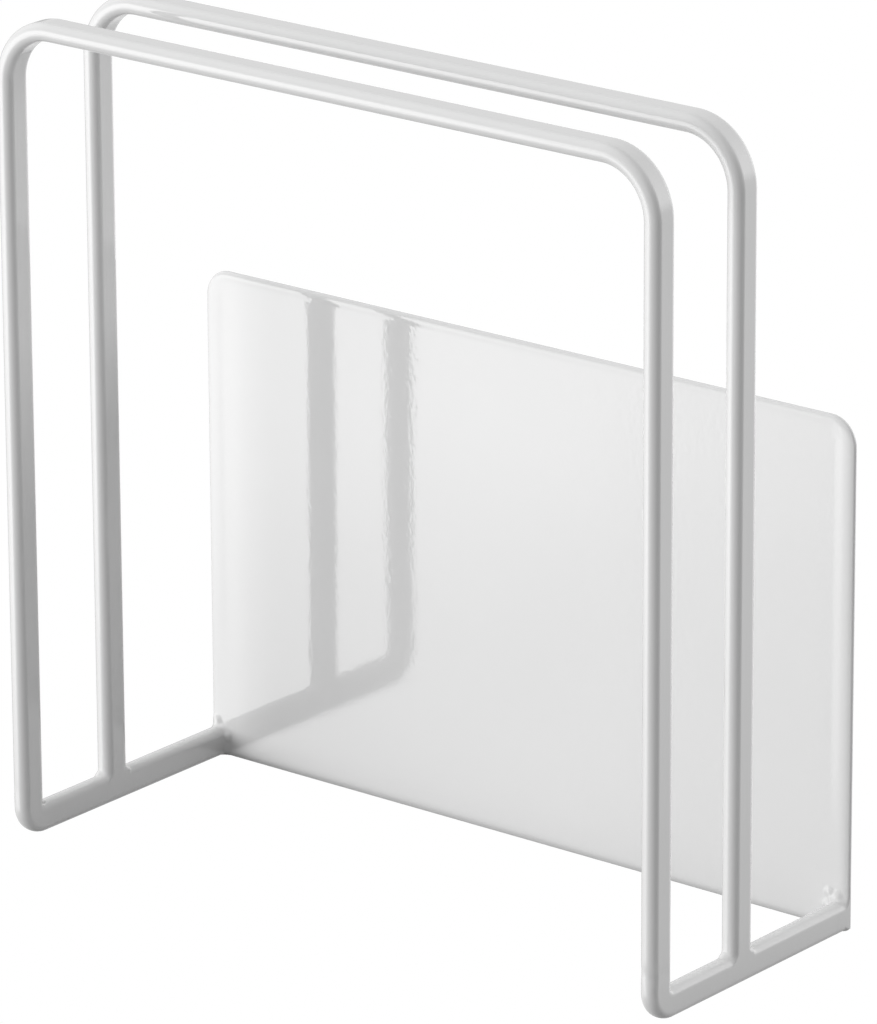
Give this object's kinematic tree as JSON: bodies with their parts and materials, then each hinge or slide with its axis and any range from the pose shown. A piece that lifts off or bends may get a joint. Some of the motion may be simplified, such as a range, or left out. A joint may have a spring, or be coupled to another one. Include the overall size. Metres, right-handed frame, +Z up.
{
  "type": "magazine file holder",
  "caption": "Free-standing white steel file holder: two flat-bar hoops on foot rails form two upright slots in front of a low sheet back panel.",
  "frame": {"origin": "on the floor at the centre of the footprint", "axes": "+X across the width to the right seen from the front, -Y towards the front hoop, +Z up"},
  "size_m": [0.25, 0.098, 0.264],
  "materials": {
    "powder_coat": "gloss",
    "coated_weld": "gloss"
  },
  "bodies": {
    "root": {"front_hoop": "powder_coat", "middle_hoop": "powder_coat", "foot_rail_left": "powder_coat", "foot_rail_right": "powder_coat", "back_panel": "powder_coat", "weld_front_corner_left": "coated_weld", "weld_front_corner_right": "coated_weld", "weld_middle_leg_left": "coated_weld", "weld_middle_leg_right": "coated_weld", "weld_panel_left": "coated_weld", "weld_panel_right": "coated_weld"}
  },
  "joints": []
}
